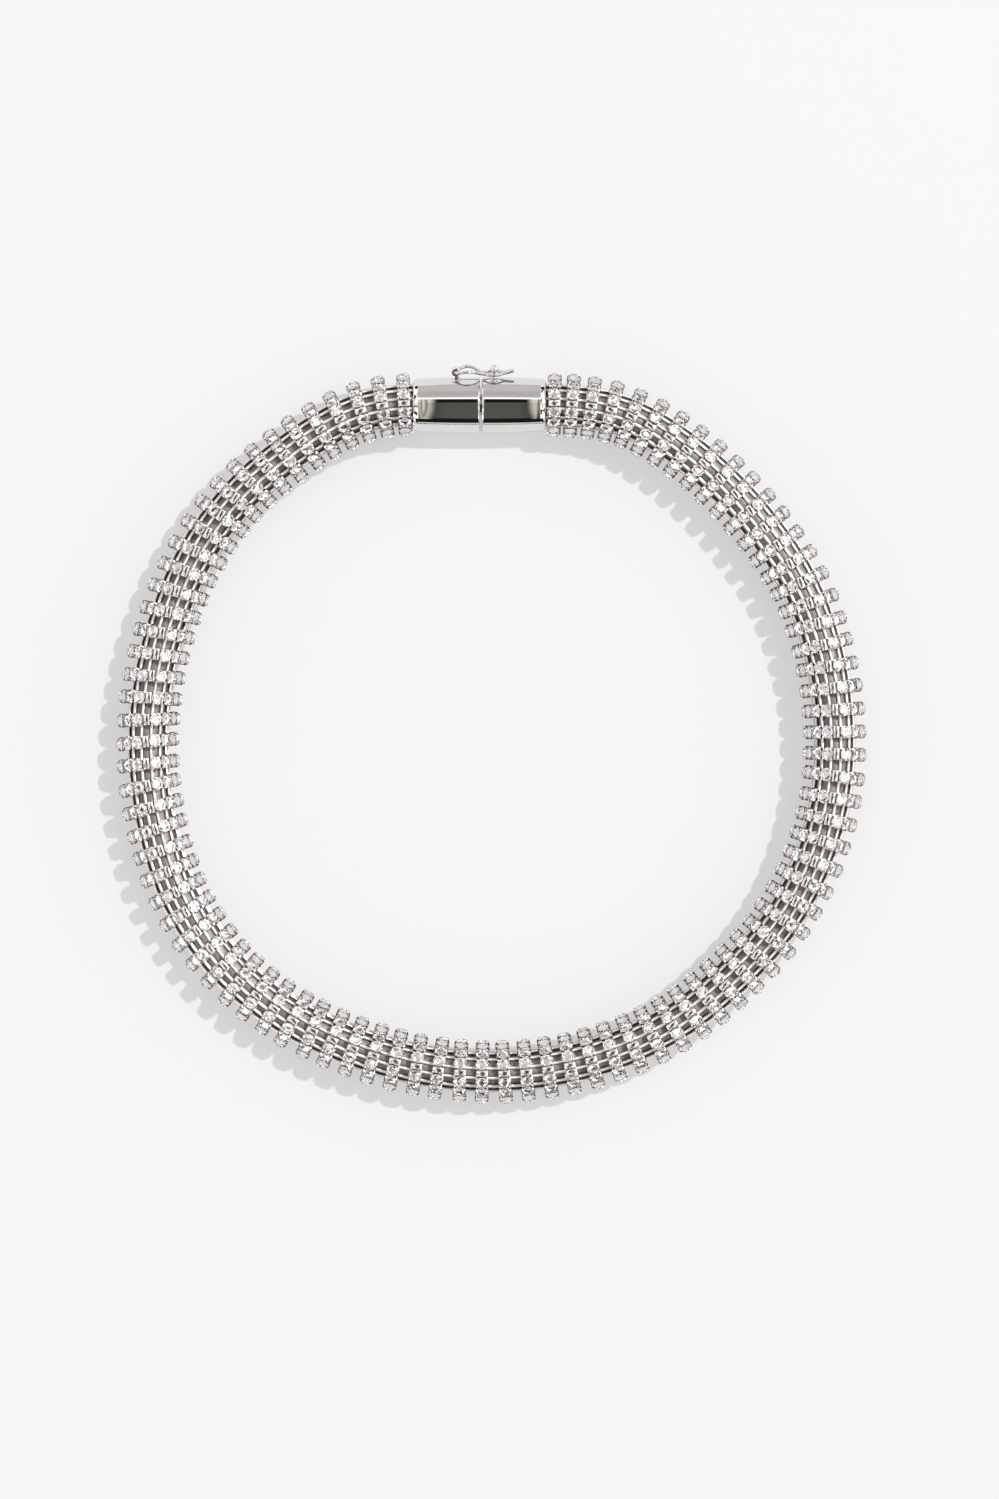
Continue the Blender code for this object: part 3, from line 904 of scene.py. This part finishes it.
def plated_material(name, group, plate, shade_and_patina_colour, roughness, sizes, bump, shade_and_patina=None):
    """A metal finish made with the plated group."""
    material, shader = new_material(name, plate, 1.0, roughness[0])
    tree = material.node_tree
    finish = tree.nodes.new("ShaderNodeGroup")
    finish.node_tree = group
    finish.inputs["Plate"].default_value = (*plate, 1)
    finish.inputs["Shade And Patina Colour"].default_value = (*shade_and_patina_colour, 1)
    finish.inputs["Least Roughness"].default_value = roughness[0]
    finish.inputs["Most Roughness"].default_value = roughness[1]
    finish.inputs["Cloud Size"].default_value = sizes[0]
    finish.inputs["Mark Size"].default_value = sizes[1]
    # An attribute name brings painted shade, on the tube added to an even tarnish; a number gives an
    # even tarnish.
    if isinstance(shade_and_patina, str):
        reader = tree.nodes.new("ShaderNodeAttribute")
        reader.attribute_name = shade_and_patina
        tree.links.new(reader.outputs["Fac"], finish.inputs["Shade And Patina"])
    elif shade_and_patina:
        finish.inputs["Shade And Patina"].default_value = shade_and_patina
    relief = add_node(tree, "ShaderNodeBump", Strength=bump[0], Distance=bump[1])
    tree.links.new(finish.outputs["Height"], relief.inputs["Height"])
    tree.links.new(finish.outputs["Color"], shader.inputs["Base Color"])
    tree.links.new(finish.outputs["Roughness"], shader.inputs["Roughness"])
    tree.links.new(relief.outputs["Normal"], shader.inputs["Normal"])
    return material


def tinted_material(name, colours, metallic, roughness, transmission):
    """Crystal or its silvered back, with a slightly different tint in each stone."""
    material, shader = new_material(name, colours[0], metallic, roughness)
    tree = material.node_tree
    shader.inputs["Transmission Weight"].default_value = transmission
    shader.inputs["IOR"].default_value = CRYSTAL_IOR
    reader = tree.nodes.new("ShaderNodeAttribute")
    reader.attribute_name = "tint"
    steps = [(index / len(colours), colour) for index, colour in enumerate(colours)]
    tint = stepped_colours(tree, reader.outputs["Fac"], steps)
    tree.links.new(tint, shader.inputs["Base Color"])
    return material


def make_materials():
    """Every finish on the necklace."""
    group = plated_group()
    return {
        # The tube, wire, cups and bars darken towards their second colour by painted shade kept on
        # their pieces; the core, brass and post carry an even tarnish.
        "tube": plated_material(
            "polished_rhodium", group, (0.80, 0.785, 0.80), (0.05, 0.045, 0.045), (0.01, 0.035),
            (400, 5000), (0.008, 0.02 * MM), "shade_and_patina",
        ),
        "wire": plated_material(
            "bright_wire", group, (0.68, 0.665, 0.665), (0.24, 0.225, 0.22), (0.02, 0.06),
            (1200, 9000), (0.02, 0.02 * MM), "shade_and_patina",
        ),
        "cup_metal": plated_material(
            "stamped_cups", group, (0.84, 0.82, 0.82), (0.50, 0.44, 0.41), (0.06, 0.2),
            (900, 9000), (0.1, 0.02 * MM), "shade_and_patina",
        ),
        "bar_metal": plated_material(
            "plated_bars", group, (0.80, 0.775, 0.765), (0.30, 0.27, 0.26), (0.36, 0.48),
            (500, 9000), (0.15, 0.02 * MM), "shade_and_patina",
        ),
        "core_metal": plated_material(
            "plated_core", group, (0.25, 0.225, 0.215), (0.18, 0.16, 0.15), (0.5, 0.65),
            (420, 9000), (0.15, 0.02 * MM), 0.8,
        ),
        "brass": plated_material(
            "bare_brass", group, (0.42, 0.32, 0.16), (0.12, 0.08, 0.04), (0.2, 0.4),
            (900, 9000), (0.2, 0.02 * MM), 0.8,
        ),
        "tongue": plated_material(
            "brushed_post", group, (0.62, 0.60, 0.58), (0.40, 0.34, 0.28), (0.2, 0.4),
            (600, 9000), (0.2, 0.02 * MM), 0.6,
        ),
        "crystal": tinted_material(
            "cut_crystal", [(1, 1, 1), (1, 0.99, 0.98), (0.99, 0.99, 1), (1, 0.99, 0.99)], 0.0,
            0.0, 1.0,
        ),
        "foil": tinted_material(
            "silvered_back",
            [(1, 0.995, 0.99), (0.99, 0.97, 0.95), (0.98, 0.98, 1), (1, 0.98, 0.98)],
            0.94, 0.02, 0.0,
        ),
    }


def add_floor():
    """A plain pale floor."""
    bm = bmesh.new()
    bmesh.ops.create_grid(bm, x_segments=1, y_segments=1, size=FLOOR_HALF_SIZE)
    mesh = bpy.data.meshes.new("floor")
    bm.to_mesh(mesh)
    bm.free()
    material, shader = new_material("pale_board", FLOOR_COLOUR, 0.0, FLOOR_ROUGHNESS)
    shader.inputs["Specular IOR Level"].default_value = FLOOR_SHINE
    shader.inputs["Emission Color"].default_value = (*FLOOR_TINT, 1)
    shader.inputs["Emission Strength"].default_value = FLOOR_GLOW
    mesh.materials.append(material)
    floor = bpy.data.objects.new("floor", mesh)
    bpy.context.scene.collection.objects.link(floor)


def card(tree, lean_y, lean_x, y_span, x_span, edge):
    """Mask of a soft-edged card in the room, from its angles off straight up in degrees."""
    masks = []
    for lean, span in ((lean_y, y_span), (lean_x, x_span)):
        masks.append(range_node(tree, lean, span[0] - edge, span[0] + edge, 0.0, 1.0))
        masks.append(range_node(tree, lean, span[1] - edge, span[1] + edge, 1.0, 0.0))
    whole = masks[0]
    for mask in masks[1:]:
        whole = math_node(tree, "MULTIPLY", whole, mask)
    return whole


# Many small cards all round the room, which the crystals break up. Columns: the share of the cards
# that comes before these, and their colour.
ROOM_PATCHES = [
    (0.0, (0.02, 0.02, 0.02)),
    (0.28, (0.8, 0.78, 0.78)),
    (0.37, (1.4, 1.36, 1.35)),
    (0.58, (1.75, 1.64, 1.5)),
    (0.63, (1.55, 1.45, 1.65)),
    (0.67, (1.85, 1.8, 1.76)),
    (0.86, (2.5, 2.45, 2.4)),
]
PATCH_SCALE = 3.4
OVERHEAD = (0.88, 0.95)
OVERHEAD_SHARE = 0.3

# Large cards over them. Columns: span of angles towards the clasp side, span of angles to the right,
# softness of the edge, all in degrees off straight up, and colour.
ROOM_CARDS = [
    ((-7, 7), (9, 80), 1.0, (1.0, 0.98, 1.02)),
    ((-7, 7), (-80, -9), 1.0, (1.0, 0.98, 1.02)),
    ((30, 89), (-8.5, 8.5), 1.0, (0.66, 0.64, 0.63)),
    ((30, 55), (-8.5, 8.5), 4.0, (0.56, 0.54, 0.53)),
    ((-89, 30), (-8.5, 8.5), 0.6, (0.84, 0.82, 0.70)),
    ((-84, -66), (-24, 24), 1.0, (0.012, 0.012, 0.012)),
    ((20.5, 25.5), (-10, 10), 0.6, (1.8, 1.8, 1.75)),
    ((-84, 20.5), (-5.3, 5.7), 0.7, (0.012, 0.012, 0.012)),
    ((-62, 6), (-5.3, 5.7), 2.5, (0.105, 0.11, 0.088)),
    ((-84, 20.5), (-6.6, -6.2), 0.3, (0.2, 0.2, 0.17)),
]
BACKDROP_COLOUR = (0.93, 0.93, 0.93)


def add_room():
    """The room that the metal and the crystals reflect, with a plain backdrop for the camera."""
    world = bpy.data.worlds.new("room")
    bpy.context.scene.world = world
    world.use_nodes = True
    tree = world.node_tree
    way = tree.nodes.new("ShaderNodeTexCoord").outputs["Generated"]
    split = tree.nodes.new("ShaderNodeSeparateXYZ")
    tree.links.new(way, split.inputs["Vector"])
    turn = math_node(tree, "ARCTAN2", split.outputs["Y"], split.outputs["Z"])
    lean_y = math_node(tree, "DEGREES", turn)
    lean_x = math_node(tree, "DEGREES", math_node(tree, "ARCSINE", split.outputs["X"]))
    cells = add_node(tree, "ShaderNodeTexVoronoi", Scale=PATCH_SCALE)
    tree.links.new(way, cells.inputs["Vector"])
    draw = tree.nodes.new("ShaderNodeSeparateColor")
    tree.links.new(cells.outputs["Color"], draw.inputs["Color"])
    darker = range_node(tree, split.outputs["Z"], *OVERHEAD, 0.0, OVERHEAD_SHARE)
    colour = stepped_colours(
        tree, math_node(tree, "SUBTRACT", draw.outputs["Red"], darker), ROOM_PATCHES
    )
    for y_span, x_span, edge, shade in ROOM_CARDS:
        mask = card(tree, lean_y, lean_x, y_span, x_span, edge)
        colour = mix_colour(tree, mask, colour, shade)
    seen = tree.nodes.new("ShaderNodeLightPath").outputs["Is Camera Ray"]
    colour = mix_colour(tree, seen, colour, BACKDROP_COLOUR)
    tree.links.new(colour, tree.nodes["Background"].inputs["Color"])


def add_sun():
    """The key light, from the upper right."""
    light = bpy.data.lights.new("key", "SUN")
    light.energy = SUN_STRENGTH
    light.angle = SUN_ANGLE
    light.color = SUN_COLOUR
    lamp = bpy.data.objects.new("key", light)
    lamp.rotation_euler = Vector(SUN_DIRECTION).to_track_quat("Z", "Y").to_euler()
    bpy.context.scene.collection.objects.link(lamp)


def add_camera():
    """Camera at the photograph's angle: straight above."""
    data = bpy.data.cameras.new("camera")
    data.sensor_width = SENSOR
    data.lens = SENSOR * (CAMERA_HEIGHT - SEAM.z) / VIEW_HEIGHT
    camera = bpy.data.objects.new("camera", data)
    camera.location = (*VIEW_MIDDLE, CAMERA_HEIGHT)
    bpy.context.scene.collection.objects.link(camera)
    bpy.context.scene.camera = camera


def dress():
    """Makes every piece."""
    chance = random.Random(SEED)
    materials = make_materials()
    route = Route()
    places = ring_places(route)
    half_count = RING_COUNT // 2 + 1
    meeting = (places[half_count - 1] + places[half_count]) / 2
    add_rings(route, places[:half_count], "right", materials, chance, "rope_right")
    add_rings(route, places[half_count:], "left", materials, chance, "rope_left")
    first = -CAGE_SEAT_DEPTH
    last = route.length + CAGE_SEAT_DEPTH
    bar_metal = materials["bar_metal"]
    core_metal = materials["core_metal"]
    add_bars(route, first, meeting, "right", bar_metal, core_metal, "rope_right")
    add_bars(route, meeting, last, "left", bar_metal, core_metal, "rope_left")
    add_socket_half(materials["tube"])
    add_plug_half(materials["tube"])
    add_catch(materials["wire"])
    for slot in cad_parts["clasp_tongue"].material_slots:
        slot.material = materials["tongue"]


add_camera()
add_floor()
add_room()
add_sun()
dress()
bpy.context.scene.view_settings.view_transform = "Standard"
